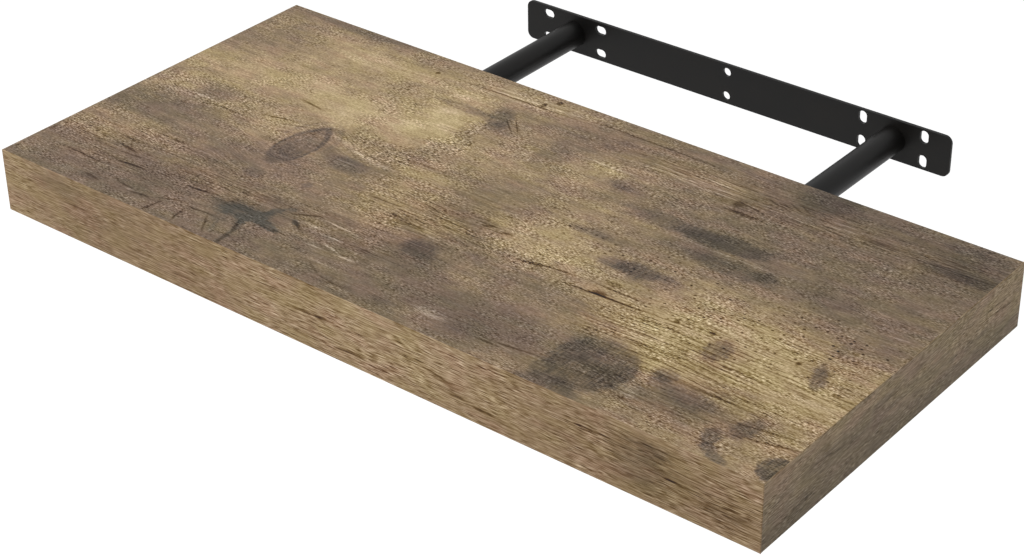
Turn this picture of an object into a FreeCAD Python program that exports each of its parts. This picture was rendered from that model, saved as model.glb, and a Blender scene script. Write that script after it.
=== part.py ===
import FreeCAD, Part
import math
import os
import re
import Sketcher

# Floating wall shelf: a hollow-core board in an old-wood decor that slides onto the rods of a wall plate.
# Frame: +X along the board, +Z up, +Y into the wall. The origin is the middle of the wall plate's back face.
# At rest the board is pulled part of the way off the rods, so the bracket can be seen behind it.

SIZES = (
    # The finished board
    ("board_length", 500.0),
    ("board_depth", 235.0),
    ("board_height", 38.0),
    ("foil_thickness", 0.3),
    ("band_thickness", 0.5),
    ("band_ease", 0.3),
    ("skin_thickness", 3.0),
    # The frame and the blocks between the skins
    ("rail_width", 28.0),
    ("block_width", 36.0),
    ("recess_depth", 3.0),
    ("socket_gap", 0.25),
    ("socket_overrun", 4.0),
    ("cell_across", 18.0),
    ("cell_wall", 0.6),
    # The wall plate
    ("plate_thickness", 2.0),
    ("plate_nest_gap", 2.95),
    ("plate_end", 17.0),
    ("plate_corner", 4.5),
    ("plate_ease", 0.3),
    ("slot_length", 8.0),
    ("slot_width", 5.5),
    ("slot_edge", 1.0),
    ("slot_offset", 20.0),
    # The rods, their welds and their caps
    ("rod_spacing", 226.0),
    ("rod_diameter", 16.0),
    ("rod_wall", 1.5),
    ("rod_cover", 71.5),
    ("weld_leg", 1.0),
    ("weld_gap", 0.05),
    ("cap_flange", 1.5),
    ("cap_bevel", 0.6),
    ("cap_plug", 9.0),
    ("plug_gap", 0.1),
    # How far the board stands off the wall at rest
    ("pull_out", 105.0),
)

# Lengths that follow from the sheet, as formulas in its words
CORE_HEIGHT = "(board_height - 2 * foil_thickness - 2 * skin_thickness)"
PLATE_HEIGHT = f"({CORE_HEIGHT} - 2 * plate_nest_gap)"
PLATE_LENGTH = "(rod_spacing + 2 * slot_offset + 2 * plate_end)"
SLOT_PITCH = f"({PLATE_HEIGHT} - slot_length - 2 * slot_edge)"
ROD_LENGTH = "(board_depth - rod_cover - cap_flange)"
ROD_BORE = "(rod_diameter - 2 * rod_wall)"
SOCKET_DIAMETER = "(rod_diameter + 2 * socket_gap)"

# Planes of the board, as formulas in the sheet's words
BACK = "(-pull_out)"
FRONT = "(-pull_out - board_depth)"
BAND_BACK = f"({FRONT} + band_thickness)"
RAIL_BACK = f"({BAND_BACK} + rail_width)"
RECESS = f"({BACK} - recess_depth)"
BACK_RAIL_FRONT = f"({RECESS} - rail_width)"
RIGHT_FACE = "(board_length / 2)"
RIGHT_INNER = f"({RIGHT_FACE} - band_thickness)"
END_RAIL_INNER = f"({RIGHT_INNER} - rail_width)"
TOP_FACE = "(board_height / 2)"
SKIN_TOP = f"({TOP_FACE} - foil_thickness)"
CORE_TOP = f"({SKIN_TOP} - skin_thickness)"
ROD_PLACE = "(rod_spacing / 2)"

# The numbers by which a sketch knows its own axes and the points of a line or an arc
HORIZONTAL_AXIS, VERTICAL_AXIS = range(-1, -3, -1)
START, END, CENTRE = range(1, 4)

SIDES = {"left": -1, "right": 1}
TOWARDS_ROOM = FreeCAD.Rotation(FreeCAD.Vector(1, 0, 0), 90)
ALIAS = re.compile(r"[a-z]+(?:_[a-z]+)+")

doc = FreeCAD.newDocument("FloatingShelf")
sheet = doc.addObject("Spreadsheet::Sheet", "Sizes")
for row, (alias, number) in enumerate(SIZES, start=1):
    sheet.set(f"A{row}", alias)
    sheet.set(f"B{row}", str(number))
    sheet.setAlias(f"B{row}", alias)
doc.recompute()

node_names = []


def node(piece, label):
    """Names a finished sub-part and puts it on the list of pieces to write."""
    piece.Label = label
    node_names.append(piece.Name)
    return piece


def in_sheet_words(formula):
    """Turns the aliases of a formula into references to the sheet."""
    return ALIAS.sub(r"Sizes.\g<0>", formula)


def value(formula):
    """Works out a formula now, in millimetres."""
    return float(sheet.evalExpression(in_sheet_words(formula)))


def mirrored(formula, side):
    """A place along X on the left or on the right."""
    return f"({SIDES[side]} * {formula})"


def bind(piece, formulas):
    """Ties properties of a piece to formulas in the sheet's words."""
    for name, formula in formulas.items():
        piece.setExpression(name, in_sheet_words(formula))


def slab(label, x_span, y_span, z_span):
    """A box between a low and a high plane on each axis."""
    piece = doc.addObject("Part::Box", label)
    for size, axis, (low, high) in (("Length", "x", x_span), ("Width", "y", y_span), ("Height", "z", z_span)):
        bind(piece, {size: f"{high} - {low}", f"Placement.Base.{axis}": low})
    return piece


def round_bar(label, x, y_start, diameter, length):
    """A cylinder that runs from the plane y_start towards the room."""
    piece = doc.addObject("Part::Cylinder", label)
    piece.Placement = FreeCAD.Placement(FreeCAD.Vector(), TOWARDS_ROOM)
    bind(piece, {"Radius": f"{diameter} / 2", "Height": length})
    bind(piece, {"Placement.Base.x": x, "Placement.Base.y": y_start})
    return piece


def cut(label, base, tools):
    """Takes each tool away from the base, one after the other."""
    for count, tool in enumerate(tools, start=1):
        result = doc.addObject("Part::Cut", f"{label}_cut_{count}")
        result.Base = base
        result.Tool = tool
        base = result
    return base


def new_body(label):
    """A body for a piece that is sketched and padded."""
    return doc.addObject("PartDesign::Body", f"{label}_body")


def new_sketch(body, label, plane_role):
    """A sketch on one of the body's own origin planes."""
    plane = next(item for item in body.Origin.OriginFeatures if item.Role == plane_role)
    sketch = body.newObject("Sketcher::SketchObject", label)
    sketch.AttachmentSupport = [(plane, "")]
    sketch.MapMode = "FlatFace"
    return sketch


def measure(sketch, kind, places, formula):
    """Adds one dimension to a sketch and ties it to a formula."""
    index = sketch.addConstraint(Sketcher.Constraint(kind, *places, value(formula)))
    sketch.setExpression(f"Constraints[{index}]", in_sheet_words(formula))


def place_point(sketch, shape, point, across, up):
    """Fixes a point of a sketch at two formulas, counted from the sketch's origin."""
    for kind, formula, axis in (("DistanceX", across, VERTICAL_AXIS), ("DistanceY", up, HORIZONTAL_AXIS)):
        if formula == "0":
            sketch.addConstraint(Sketcher.Constraint("PointOnObject", shape, point, axis))
        else:
            measure(sketch, kind, (HORIZONTAL_AXIS, START, shape, point), formula)


def sketch_outline(sketch, corners):
    """Draws a closed outline of straight lines through corners given as pairs of formulas."""
    points = [FreeCAD.Vector(value(across), value(up), 0) for across, up in corners]
    lines = [
        sketch.addGeometry(Part.LineSegment(point, points[(index + 1) % len(points)]), False)
        for index, point in enumerate(points)
    ]
    for index, line in enumerate(lines):
        following = lines[(index + 1) % len(lines)]
        sketch.addConstraint(Sketcher.Constraint("Coincident", line, END, following, START))
    for line, (across, up) in zip(lines, corners):
        place_point(sketch, line, START, across, up)


def sketch_circle(sketch, across, up, diameter):
    """Draws a circle whose centre and diameter are formulas."""
    centre = FreeCAD.Vector(value(across), value(up), 0)
    circle = sketch.addGeometry(Part.Circle(centre, FreeCAD.Vector(0, 0, 1), value(diameter) / 2), False)
    place_point(sketch, circle, CENTRE, across, up)
    measure(sketch, "Diameter", (circle,), diameter)


def sketch_slot(sketch, across, up, upright):
    """Draws a screw slot round its centre, lying along the plate or standing upright."""
    half_run = "((slot_length - slot_width) / 2)"
    step = FreeCAD.Vector(0, value(half_run), 0) if upright else FreeCAD.Vector(value(half_run), 0, 0)
    middle = FreeCAD.Vector(value(across), value(up), 0)
    turn = math.pi / 2 if upright else 0.0
    radius = value("slot_width") / 2
    arcs = []
    for centre, start in ((middle - step, math.pi / 2 + turn), (middle + step, turn - math.pi / 2)):
        circle = Part.Circle(centre, FreeCAD.Vector(0, 0, 1), radius)
        arcs.append(sketch.addGeometry(Part.ArcOfCircle(circle, start, start + math.pi), False))
    ends = [
        (sketch.getPoint(arcs[0], START), sketch.getPoint(arcs[1], END)),
        (sketch.getPoint(arcs[0], END), sketch.getPoint(arcs[1], START)),
    ]
    lines = [sketch.addGeometry(Part.LineSegment(first, second), False) for first, second in ends]
    for line, (first, second) in zip(lines, ((START, END), (END, START))):
        sketch.addConstraint(Sketcher.Constraint("Tangent", arcs[0], first, line, START))
        sketch.addConstraint(Sketcher.Constraint("Tangent", line, END, arcs[1], second))
    sketch.addConstraint(Sketcher.Constraint("Equal", arcs[0], arcs[1]))
    sketch.addConstraint(Sketcher.Constraint("Vertical" if upright else "Horizontal", lines[0]))
    measure(sketch, "Radius", (arcs[0],), "slot_width / 2")
    run = (arcs[0], CENTRE, arcs[1], CENTRE)
    measure(sketch, "DistanceY" if upright else "DistanceX", run, "slot_length - slot_width")
    low_across = across if upright else f"({across} - {half_run})"
    low_up = f"({up} - {half_run})" if upright else up
    place_point(sketch, arcs[0], CENTRE, low_across, low_up)


def pad(body, label, sketch, length):
    """Pads a sketch along its own normal."""
    feature = body.newObject("PartDesign::Pad", label)
    feature.Profile = sketch
    bind(feature, {"Length": length})
    doc.recompute()
    return feature


def pocket(body, label, sketch):
    """Cuts a sketch right through the material in front of it, and checks that it cut something."""
    before = body.Shape.Volume
    feature = body.newObject("PartDesign::Pocket", label)
    feature.Profile = sketch
    feature.Type = "ThroughAll"
    feature.Reversed = True
    doc.recompute()
    if not body.Shape.Volume < before:
        raise RuntimeError(f"{label} cut nothing")
    return feature


def ease_edges(body, kind, label, base, is_chosen, size):
    """Fillets or chamfers the edges of the base that is_chosen picks."""
    feature = body.newObject(f"PartDesign::{kind}", label)
    names = [f"Edge{index}" for index, edge in enumerate(base.Shape.Edges, start=1) if is_chosen(edge)]
    feature.Base = (base, names)
    bind(feature, {"Radius" if kind == "Fillet" else "Size": size})
    doc.recompute()
    return feature


def lies_at(edge, axis, formula):
    """Whether the whole of an edge lies on a plane across the given axis."""
    low = getattr(edge.BoundBox, f"{axis}Min")
    high = getattr(edge.BoundBox, f"{axis}Max")
    tolerance = value("band_thickness") / 100
    return abs(low - value(formula)) < tolerance and abs(high - value(formula)) < tolerance


def build_wall_plate():
    """The plate: rounded corners, an eased front rim, two rod holes with weld seats, and ten screw holes."""
    body = new_body("wall_plate")
    outline = new_sketch(body, "plate_outline", "XZ_Plane")
    half_length, half_height = f"({PLATE_LENGTH} / 2)", f"({PLATE_HEIGHT} / 2)"
    sketch_outline(outline, [
        (f"-{half_length}", f"-{half_height}"),
        (half_length, f"-{half_height}"),
        (half_length, half_height),
        (f"-{half_length}", half_height),
    ])
    blank = pad(body, "plate_blank", outline, "plate_thickness")

    def runs_through(edge):
        return math.isclose(edge.BoundBox.YLength, value("plate_thickness"), rel_tol=0.01)

    rounded = ease_edges(body, "Fillet", "plate_corners", blank, runs_through, "plate_corner")

    def is_front_rim(edge):
        return lies_at(edge, "Y", "-plate_thickness")

    ease_edges(body, "Fillet", "plate_rim", rounded, is_front_rim, "plate_ease")

    screw_holes = new_sketch(body, "screw_holes", "XZ_Plane")
    for row_sign in (-1, 1):
        up = f"({row_sign} * {SLOT_PITCH} / 2)"
        sketch_circle(screw_holes, "0", up, "slot_width")
        for side in SIDES:
            for column_sign in (-1, 1):
                across = f"({SIDES[side]} * {ROD_PLACE} + {column_sign} * slot_offset)"
                sketch_slot(screw_holes, across, up, upright=side == "right")
    pocket(body, "screw_hole_cut", screw_holes)

    rod_holes = new_sketch(body, "rod_holes", "XZ_Plane")
    for side in SIDES:
        sketch_circle(rod_holes, mirrored(ROD_PLACE, side), "0", "rod_diameter + 2 * weld_gap")
    drilled = pocket(body, "rod_hole_cut", rod_holes)

    def is_weld_seat(edge):
        wide = edge.BoundBox.XLength > value("slot_length") and edge.BoundBox.XLength < value("slot_offset")
        return lies_at(edge, "Y", "0") and wide and edge.isClosed()

    ease_edges(body, "Chamfer", "weld_seats", drilled, is_weld_seat, "weld_leg")
    node(body, "wall_plate")


def build_rod(side):
    """A tube that starts flush with the plate's back and reaches into the board."""
    body = new_body(f"{side}_rod")
    ring = new_sketch(body, f"{side}_rod_ring", "XZ_Plane")
    for diameter in ("rod_diameter", ROD_BORE):
        sketch_circle(ring, mirrored(ROD_PLACE, side), "0", diameter)
    pad(body, f"{side}_rod_tube", ring, ROD_LENGTH)
    node(body, f"{side}_rod")


def build_rod_cap(side):
    """A plug in the tube's front end, with a bevelled flange as wide as the tube."""
    body = new_body(f"{side}_rod_cap")
    profile = new_sketch(body, f"{side}_cap_profile", "YZ_Plane")
    tube_end = f"(-{ROD_LENGTH})"
    plug_radius = f"({ROD_BORE} / 2 - plug_gap)"
    sketch_outline(profile, [
        (f"({tube_end} + cap_plug)", "0"),
        (f"({tube_end} + cap_plug)", plug_radius),
        (tube_end, plug_radius),
        (tube_end, "(rod_diameter / 2)"),
        (f"({tube_end} - cap_flange + cap_bevel)", "(rod_diameter / 2)"),
        (f"({tube_end} - cap_flange)", "(rod_diameter / 2 - cap_bevel)"),
        (f"({tube_end} - cap_flange)", "0"),
    ])
    turned = body.newObject("PartDesign::Revolution", f"{side}_cap_turned")
    turned.Profile = profile
    turned.ReferenceAxis = (profile, ["H_Axis"])
    turned.Angle = 360
    bind(body, {"Placement.Base.x": mirrored(ROD_PLACE, side)})
    node(body, f"{side}_rod_cap")


def build_rod_welds():
    """The two welds, each a ring that fills its seat flush with the plate's back."""
    rings = []
    for side in SIDES:
        bead = doc.addObject("Part::Cone", f"{side}_weld_bead")
        bead.Placement = FreeCAD.Placement(FreeCAD.Vector(), TOWARDS_ROOM)
        hole_radius = "rod_diameter / 2 + weld_gap"
        bind(bead, {"Radius1": f"{hole_radius} + weld_leg", "Radius2": hole_radius, "Height": "weld_leg"})
        bind(bead, {"Placement.Base.x": mirrored(ROD_PLACE, side)})
        rod_room = round_bar(f"{side}_weld_room", mirrored(ROD_PLACE, side), "0", "rod_diameter", "weld_leg")
        rings.append(cut(f"{side}_weld", bead, [rod_room]))
    welds = doc.addObject("Part::Compound", "rod_weld_pair")
    welds.Links = rings
    node(welds, "rod_welds")


def build_faces():
    """The decor foils and the skins under them, on the board's top and underside."""
    plan = ((f"(-{RIGHT_INNER})", RIGHT_INNER), (BAND_BACK, BACK))
    node(slab("foil_above", *plan, (SKIN_TOP, TOP_FACE)), "top_foil")
    node(slab("skin_above", *plan, (CORE_TOP, SKIN_TOP)), "top_panel")
    node(slab("skin_below", *plan, (f"(-{SKIN_TOP})", f"(-{CORE_TOP})")), "bottom_panel")
    node(slab("foil_below", *plan, (f"(-{TOP_FACE})", f"(-{SKIN_TOP})")), "bottom_foil")


def build_band(label, corners, is_eased):
    """A decor band over the board's full height, with its outer edges eased."""
    body = new_body(label)
    plan = new_sketch(body, f"{label}_plan", "XY_Plane")
    sketch_outline(plan, corners)
    strip = pad(body, f"{label}_strip", plan, "board_height")
    ease_edges(body, "Chamfer", f"{label}_ease", strip, is_eased, "band_ease")
    bind(body, {"Placement.Base.z": f"-{TOP_FACE}"})
    node(body, label)


def build_bands():
    """The front band over the board's full length, and the two end bands behind it."""
    left_face = f"(-{RIGHT_FACE})"
    front_corners = [(left_face, FRONT), (RIGHT_FACE, FRONT), (RIGHT_FACE, BAND_BACK), (left_face, BAND_BACK)]
    build_band("front_edge_band", front_corners, lambda edge: lies_at(edge, "Y", FRONT))
    for side in SIDES:
        outer = mirrored(RIGHT_FACE, side)
        inner = mirrored(RIGHT_INNER, side)
        corners = [(inner, BAND_BACK), (outer, BAND_BACK), (outer, BACK), (inner, BACK)]

        def is_outer(edge, outer=outer):
            return lies_at(edge, "X", outer) and not lies_at(edge, "Y", BAND_BACK)

        build_band(f"{side}_edge_band", corners, is_outer)


def build_frame():
    """The four rails between the skins; the back rail is set in, so that the wall plate nests behind it."""
    core = (f"(-{CORE_TOP})", CORE_TOP)
    left_inner, left_end_rail_inner = f"(-{RIGHT_INNER})", f"(-{END_RAIL_INNER})"
    end_depth = (RAIL_BACK, BACK)
    node(slab("rail_in_front", (left_inner, RIGHT_INNER), (BAND_BACK, RAIL_BACK), core), "front_rail")
    node(slab("rail_on_left", (left_inner, left_end_rail_inner), end_depth, core), "left_end_rail")
    node(slab("rail_on_right", (END_RAIL_INNER, RIGHT_INNER), end_depth, core), "right_end_rail")

    blank = slab("rail_at_back", (left_end_rail_inner, END_RAIL_INNER), (BACK_RAIL_FRONT, RECESS), core)
    depth = f"({BACK} - {RAIL_BACK})"
    drills = [
        round_bar(f"{side}_rail_drill", mirrored(ROD_PLACE, side), BACK, SOCKET_DIAMETER, depth)
        for side in SIDES
    ]
    node(cut("back_rail", blank, drills), "back_rail")


def build_rod_block(side):
    """A block from rail to rail, bored from the back to just past the seated rod's tip."""
    place = mirrored(ROD_PLACE, side)
    width = (f"({place} - block_width / 2)", f"({place} + block_width / 2)")
    core = (f"(-{CORE_TOP})", CORE_TOP)
    blank = slab(f"{side}_block_blank", width, (RAIL_BACK, BACK_RAIL_FRONT), core)
    depth = f"({ROD_LENGTH} + cap_flange + socket_overrun)"
    drill = round_bar(f"{side}_block_drill", place, BACK, SOCKET_DIAMETER, depth)
    node(cut(f"{side}_rod_block", blank, [drill]), f"{side}_rod_block")


def hexagon(centre, across):
    """The face of one honeycomb cell, with two of its sides along Y."""
    radius = across / math.sqrt(3)
    spoke = FreeCAD.Vector(0, radius, 0)
    corners = [
        centre + FreeCAD.Rotation(FreeCAD.Vector(0, 0, 1), 60 * index).multVec(spoke)
        for index in range(7)
    ]
    return Part.Face(Part.makePolygon(corners))


def build_honeycomb(label, low, high):
    """A paper honeycomb between two planes across X: a rim and the walls between the cells."""
    width = value(high) - value(low)
    depth = value(BACK_RAIL_FRONT) - value(RAIL_BACK)
    wall = value("cell_wall")
    pitch = value("cell_across") + wall
    row_step = pitch * math.sqrt(3) / 2
    columns = math.ceil(width / pitch) + 1
    rows = math.ceil(depth / row_step) + 1
    cells = [
        hexagon(FreeCAD.Vector((column + (row % 2) / 2) * pitch, row * row_step, 0), value("cell_across"))
        for row in range(rows)
        for column in range(columns)
    ]
    field = Part.makePlane(width, depth)
    inside = Part.makePlane(width - 2 * wall, depth - 2 * wall, FreeCAD.Vector(wall, wall, 0))
    net = field.cut(inside.common(Part.makeCompound(cells)))
    comb = net.extrude(FreeCAD.Vector(0, 0, value(CORE_HEIGHT)))
    piece = doc.addObject("Part::Feature", f"{label}_comb")
    piece.Shape = comb.Solids[0] if len(comb.Solids) == 1 else comb
    piece.Placement = FreeCAD.Placement(
        FreeCAD.Vector(value(low), value(RAIL_BACK), -value(CORE_TOP)), FreeCAD.Rotation())
    node(piece, label)


def build_honeycombs():
    """The three fields of honeycomb between the end rails and the rod blocks."""
    block_inner = f"({ROD_PLACE} - block_width / 2)"
    block_outer = f"({ROD_PLACE} + block_width / 2)"
    build_honeycomb("honeycomb_left", f"(-{END_RAIL_INNER})", f"(-{block_outer})")
    build_honeycomb("honeycomb_centre", f"(-{block_inner})", block_inner)
    build_honeycomb("honeycomb_right", block_outer, END_RAIL_INNER)


def check_and_write():
    """Checks every object and every sub-part, then writes one file for each sub-part."""
    doc.recompute()
    for item in doc.Objects:
        if "Invalid" in item.State or "Error" in item.State:
            raise RuntimeError(f"{item.Label} failed: {item.State}")
    pieces = [doc.getObject(name) for name in node_names]
    for piece in pieces:
        if piece.Shape.isNull() or not piece.Shape.isValid() or not piece.Shape.Solids:
            raise RuntimeError(f"{piece.Label} has no valid shape")
    os.makedirs("parts", exist_ok=True)
    for piece in pieces:
        piece.Shape.exportStep(f"parts/{piece.Label}.step")
        box = piece.Shape.BoundBox
        print(f"{piece.Label:18} {len(piece.Shape.Solids)} solid(s) {piece.Shape.Volume / 1000:9.3f} cm3"
              f"  x {box.XMin:8.2f} {box.XMax:8.2f}  y {box.YMin:8.2f} {box.YMax:8.2f}"
              f"  z {box.ZMin:7.2f} {box.ZMax:7.2f}")


build_wall_plate()
for rod_side in SIDES:
    build_rod(rod_side)
    build_rod_cap(rod_side)
build_rod_welds()
build_faces()
build_bands()
build_frame()
for block_side in SIDES:
    build_rod_block(block_side)
build_honeycombs()
check_and_write()
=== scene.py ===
"""Floating wall shelf: an old-wood board that slides onto the two rods of a black steel wall plate."""

import logging
import math
from dataclasses import dataclass
from enum import Enum
from typing import Union

import bpy
from bpy.types import Material, Node, NodeSocket, World
from mathutils import Euler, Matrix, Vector

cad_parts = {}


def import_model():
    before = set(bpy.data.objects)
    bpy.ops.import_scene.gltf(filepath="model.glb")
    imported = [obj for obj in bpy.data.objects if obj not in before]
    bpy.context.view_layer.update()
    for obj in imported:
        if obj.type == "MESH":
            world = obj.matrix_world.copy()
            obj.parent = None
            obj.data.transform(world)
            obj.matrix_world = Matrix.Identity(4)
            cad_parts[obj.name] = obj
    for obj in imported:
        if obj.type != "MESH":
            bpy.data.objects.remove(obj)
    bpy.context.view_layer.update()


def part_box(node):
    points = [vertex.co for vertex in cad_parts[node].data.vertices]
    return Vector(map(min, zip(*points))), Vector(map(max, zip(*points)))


LOG = logging.getLogger("shelf")
MM_PER_METRE = 1000.0
SCREEN_GAMMA = 2.2
DARKEST_SHOWN = 0.06
SOFT_EDGE = 0.6
PERCENT = 100.0
WHITE = (1.0, 1.0, 1.0, 1.0)

Number = Union["Signal", float]
Colour = tuple[float, float, float, float]
Stops = tuple[tuple[float, Colour], ...]
Triple = tuple[float, float, float]


def tint(*levels: int) -> Colour:
    """Turns a colour as a screen shows it into the shader's linear light.

    Args:
        levels: Red, green and blue, from 0 to 255.

    Returns:
        The linear colour, fully opaque.
    """
    toe, toe_slope, offset, power, brightest = 0.04045, 12.92, 0.055, 2.4, 255

    def linear(level: float) -> float:
        """Undoes the screen's curve for one channel."""
        return level / toe_slope if level <= toe else ((level + offset) / (1 + offset)) ** power

    return (*(linear(level / brightest) for level in levels), 1.0)


class Signal:
    """A number that a shader works out, so that it can stand in a Python expression."""

    def __init__(self, wiring: "Wiring", socket: NodeSocket) -> None:
        """Wraps a socket.

        Args:
            wiring: The nodes that the socket belongs to.
            socket: The output that carries the number.
        """
        self.wiring = wiring
        self.socket = socket

    def maths(self, operation: str, first: Number, second: Number = 0.0) -> "Signal":
        """Adds one Math node.

        Args:
            operation: Blender's name for the operation.
            first: The first operand.
            second: The second operand, where it has one.

        Returns:
            The node's result.
        """
        values = {"Value": first, "Value_001": second}
        return self.wiring.signal("ShaderNodeMath", {"operation": operation}, values)

    def __add__(self, other: Number) -> "Signal":
        """Adds a number after this one."""
        return self.maths("ADD", self, other)

    def __radd__(self, other: Number) -> "Signal":
        """Adds a number before this one."""
        return self.maths("ADD", other, self)

    def __sub__(self, other: Number) -> "Signal":
        """Takes a number away from this one."""
        return self.maths("SUBTRACT", self, other)

    def __rsub__(self, other: Number) -> "Signal":
        """Takes this one away from a number."""
        return self.maths("SUBTRACT", other, self)

    def __mul__(self, other: Number) -> "Signal":
        """Multiplies this one by a number."""
        return self.maths("MULTIPLY", self, other)

    def __rmul__(self, other: Number) -> "Signal":
        """Multiplies a number by this one."""
        return self.maths("MULTIPLY", other, self)

    def __truediv__(self, other: Number) -> "Signal":
        """Divides this one by a number."""
        return self.maths("DIVIDE", self, other)

    def at_least(self, other: Number) -> "Signal":
        """Takes the larger of this and another number."""
        return self.maths("MAXIMUM", self, other)

    def at_most(self, other: Number) -> "Signal":
        """Takes the smaller of this and another number."""
        return self.maths("MINIMUM", self, other)

    def step(self, zero_at: float, full_at: float, full: float = 1.0) -> "Signal":
        """Runs smoothly from nothing to its full value.

        Args:
            zero_at: Where the result is 0.
            full_at: Where the result is full, above or below zero_at.
            full: The full value.

        Returns:
            The eased step.
        """
        settings = {"interpolation_type": "SMOOTHSTEP", "clamp": False}
        values = {"Value": self, "From Min": zero_at, "From Max": full_at, "To Max": full}
        return self.wiring.signal("ShaderNodeMapRange", settings, values)

    def wave(self) -> "Signal":
        """The sine of this number, in radians."""
        return self.maths("SINE", self)

    def __abs__(self) -> "Signal":
        """This number without its sign."""
        return self.maths("ABSOLUTE", self)


class Wiring:
    """The nodes of one material or world."""

    def __init__(self, owner: Material | World) -> None:
        """Starts with no nodes.

        Args:
            owner: The material or world to wire.
        """
        self.owner = owner
        owner.use_nodes = True
        self.tree = owner.node_tree
        self.tree.nodes.clear()

    def node(self, kind: str, settings: dict[str, object], values: dict[str, object]) -> Node:
        """Adds one node: its settings first, then the values and links of its sockets.

        Args:
            kind: Blender's name for the type of node.
            settings: Properties of the node; "stops" holds a ramp's places and colours.
            values: A number, colour, vector or Signal for each socket, by the socket's identifier.

        Returns:
            The new node.
        """
        made = self.tree.nodes.new(kind)
        for name, setting in settings.items():
            if name == "stops":
                elements = made.color_ramp.elements
                while len(elements) < len(setting):
                    elements.new(1.0)
                for element, (place, colour) in zip(elements, setting):
                    element.position = place
                    element.color = colour
            else:
                setattr(made, name, setting)
        sockets = {socket.identifier: socket for socket in made.inputs}
        for name, value in values.items():
            if isinstance(value, Signal):
                self.tree.links.new(value.socket, sockets[name])
            else:
                sockets[name].default_value = value
        return made

    def signal(
        self, kind: str, settings: dict[str, object], values: dict[str, object], output: int | str = 0
    ) -> Signal:
        """Adds one node and takes one of its outputs.

        Args:
            kind: Blender's name for the type of node.
            settings: Properties of the node.
            values: What its sockets get.
            output: The output's place or name.

        Returns:
            The output.
        """
        return Signal(self, self.node(kind, settings, values).outputs[output])

    def spot(self) -> Signal:
        """The spot on the object in the frame's millimetres, as a vector."""
        metres = self.signal("ShaderNodeTexCoord", {}, {}, "Object")
        return self.vector("MULTIPLY", metres, (MM_PER_METRE,) * 3)

    def vector(self, operation: str, *values: Signal | tuple[float, ...], output: str = "Vector") -> Signal:
        """Adds one Vector Math node.

        Args:
            operation: Blender's name for the operation.
            values: The operands in their order.
            output: "Vector" or "Value".

        Returns:
            The node's result.
        """
        sockets = dict(zip(("Vector", "Vector_001", "Vector_002"), values))
        return self.signal("ShaderNodeVectorMath", {"operation": operation}, sockets, output)

    def noise(self, spot: Signal, size: tuple[float, ...], seed: float, detail: float = 2.0) -> Signal:
        """Adds a noise whose lumps have a given size, about 0.5 on average.

        Args:
            spot: Where the noise is read, as a vector.
            size: How long the lumps are along each axis. With two lengths the noise is flat.
            seed: A shift that makes this noise unlike the others.
            detail: How many finer layers it has.

        Returns:
            The noise from 0 to 1.
        """
        shrink = [1 / length for length in size] + [1.0] * (3 - len(size))
        scaled = self.vector("MULTIPLY_ADD", spot, tuple(shrink), (seed,) * 3)
        settings = {"noise_dimensions": f"{len(size)}D"}
        return self.signal("ShaderNodeTexNoise", settings, {"Vector": scaled, "Scale": 1.0, "Detail": detail})

    def colour_by(self, level: Number, stops: Stops) -> Signal:
        """Reads a colour off a ramp.

        Args:
            level: Where on the ramp, from 0 to 1.
            stops: The ramp's places and colours.

        Returns:
            The colour.
        """
        return self.signal("ShaderNodeValToRGB", {"stops": stops}, {"Fac": level}, "Color")

    def blend(self, share: Number, first: Signal | Colour, second: Signal | Colour) -> Signal:
        """Mixes two colours.

        Args:
            share: How much of the second colour, from 0 to 1.
            first: The colour where share is 0.
            second: The colour where share is 1.

        Returns:
            The mixed colour.
        """
        settings = {"data_type": "RGBA", "clamp_factor": True}
        values = {"Factor_Float": share, "A_Color": first, "B_Color": second}
        made = self.node("ShaderNodeMix", settings, values)
        return Signal(self, next(socket for socket in made.outputs if socket.identifier == "Result_Color"))

    def surface(self, colour: Signal, gloss: Signal, shine: float, height: Signal, relief: float) -> Material:
        """Ends the material in a Principled shader whose normal follows a height.

        Args:
            colour: The colour of the surface.
            gloss: Its roughness, from 0 to 1.
            shine: How strongly it mirrors, the same all over.
            height: The relief as a number, about 0 to 1.
            relief: How far a height of 1 stands up, in metres.

        Returns:
            The material, which is now finished.
        """
        bump = self.signal("ShaderNodeBump", {}, {"Strength": 1.0, "Distance": relief, "Height": height})
        values = {"Base Color": colour, "Roughness": gloss, "Specular IOR Level": shine, "Normal": bump}
        shader = self.signal("ShaderNodeBsdfPrincipled", {}, values)
        self.node("ShaderNodeOutputMaterial", {}, {"Surface": shader})
        return self.owner


class Lay(Enum):
    """Which way a printed sheet lies on the board."""

    FACE = "face"
    FRONT = "front"
    END = "end"


@dataclass(frozen=True)
class Mark:
    """An oval mark in the print, in millimetres along and across the grain, turned by degrees.

    Its strength is full inside 1 - edge of its reach, and nothing beyond 1 + edge of it.
    """

    along: float
    across: float
    reach_along: float
    reach_across: float
    strength: float
    turn: float = 0.0
    edge: float = SOFT_EDGE


Marks = tuple[Mark, ...]


def marks(*rows: tuple[float, ...], edge: float = SOFT_EDGE) -> Marks:
    """Makes the marks of one list.

    Args:
        rows: The values of each mark in the order of its fields, its strength in percent. A row may leave out
            its turn and its edge.
        edge: The edge of every mark whose row leaves it out.

    Returns:
        The marks.
    """
    made = []
    for along, across, reach_along, reach_across, percent, *rest in rows:
        turn_and_edge = (*rest, *(0.0, edge)[len(rest):])
        made.append(Mark(along, across, reach_along, reach_across, percent / PERCENT, *turn_and_edge))
    return tuple(made)


@dataclass(frozen=True)
class Knot(Mark):
    """A leaf-shaped knot with rings inside, pointed towards the sheet's back edge."""

    rings: float = 2.2


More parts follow.
